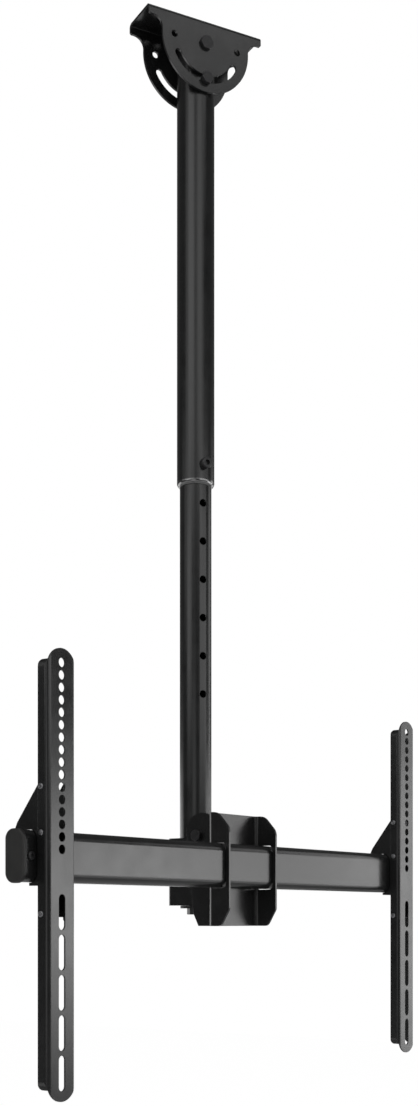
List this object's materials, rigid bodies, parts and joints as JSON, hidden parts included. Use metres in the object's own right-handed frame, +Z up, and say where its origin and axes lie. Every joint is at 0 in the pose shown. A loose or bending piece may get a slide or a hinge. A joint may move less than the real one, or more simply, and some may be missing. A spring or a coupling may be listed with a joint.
{
  "type": "tv ceiling mount",
  "caption": "Ceiling-hung television mount: folded ceiling bracket, telescopic pole, swivel and tilt head, crossbar and slotted upright arms.",
  "frame": {"origin": "middle of the ceiling face of the ceiling bracket, on the pole's axis", "axes": "+Z up to the ceiling, X along the crossbar, -Y towards the television; the bracket and pole stand turned 25 degrees against the head, as in the picture"},
  "size_m": [0.777, 0.1532, 1.2591],
  "materials": {
    "black_powder_coat": "fine-textured satin black powder coat",
    "black_oxide_steel": "black-finished steel fasteners",
    "rivet_steel": "darkened steel rivet heads",
    "black_nylon": "moulded black nylon",
    "gloss_black_plastic": "glossy black moulded collar",
    "matte_black_plastic": "fine-grained black end cap"
  },
  "bodies": {
    "ceiling_bracket": {"ceiling_bracket": "black_powder_coat", "pivot_bolt": "black_oxide_steel", "pivot_washer": "black_oxide_steel", "pivot_nut": "black_oxide_steel"},
    "outer_pole": {"outer_tube": "black_powder_coat", "tube_plug": "black_nylon", "guide_bush": "gloss_black_plastic", "pole_lock_washer": "black_oxide_steel", "pole_lock_bolt": "black_oxide_steel", "pole_lock_nut": "black_oxide_steel", "height_bolt": "black_oxide_steel", "height_nut": "black_oxide_steel"},
    "inner_pole": {"inner_tube": "black_powder_coat", "inner_guide": "black_nylon", "swivel_plug": "black_oxide_steel", "swivel_bolt": "black_oxide_steel", "swivel_washers": "black_nylon"},
    "swivel_head": {"yoke": "black_powder_coat", "tilt_bolt": "black_oxide_steel", "tilt_lock_bolt": "black_oxide_steel", "tilt_nuts": "black_oxide_steel", "tilt_washers": "black_nylon"},
    "tv_frame": {"centre_channel": "black_powder_coat", "tilt_ears": "black_powder_coat", "crossbar": "black_powder_coat", "crossbar_screws": "black_oxide_steel", "end_cap_left": "matte_black_plastic", "end_cap_right": "matte_black_plastic", "cap_screws": "black_oxide_steel"},
    "left_arm": {"arm_left": "black_powder_coat", "carriage_left": "black_powder_coat", "rivets_left": "rivet_steel", "grip_screw_left": "black_oxide_steel"},
    "right_arm": {"arm_right": "black_powder_coat", "carriage_right": "black_powder_coat", "rivets_right": "rivet_steel", "grip_screw_right": "black_oxide_steel"}
  },
  "joints": [
    {"name": "ceiling_tilt", "type": "hinge", "parent": "ceiling_bracket", "child": "outer_pole", "pos_m": [0, 0, -0.028], "axis": [0.4226, 0.9063, 0], "range_deg": [-60, 60]},
    {"name": "height_slide", "type": "slide", "parent": "outer_pole", "child": "inner_pole", "axis": [0, 0, 1], "range_m": [0, 0.276]},
    {"name": "tv_swivel", "type": "hinge", "parent": "inner_pole", "child": "swivel_head", "pos_m": [0, 0, -1.01], "axis": [0, 0, 1], "continuous": true},
    {"name": "tv_tilt", "type": "hinge", "parent": "swivel_head", "child": "tv_frame", "pos_m": [0, -0.0257, -0.9784], "axis": [1, 0, 0], "range_deg": [-5, 15]},
    {"name": "left_arm_slide", "type": "slide", "parent": "tv_frame", "child": "left_arm", "axis": [1, 0, 0], "range_m": [-0.003, 0.24]},
    {"name": "right_arm_slide", "type": "slide", "parent": "tv_frame", "child": "right_arm", "axis": [1, 0, 0], "range_m": [-0.24, 0.003]}
  ]
}
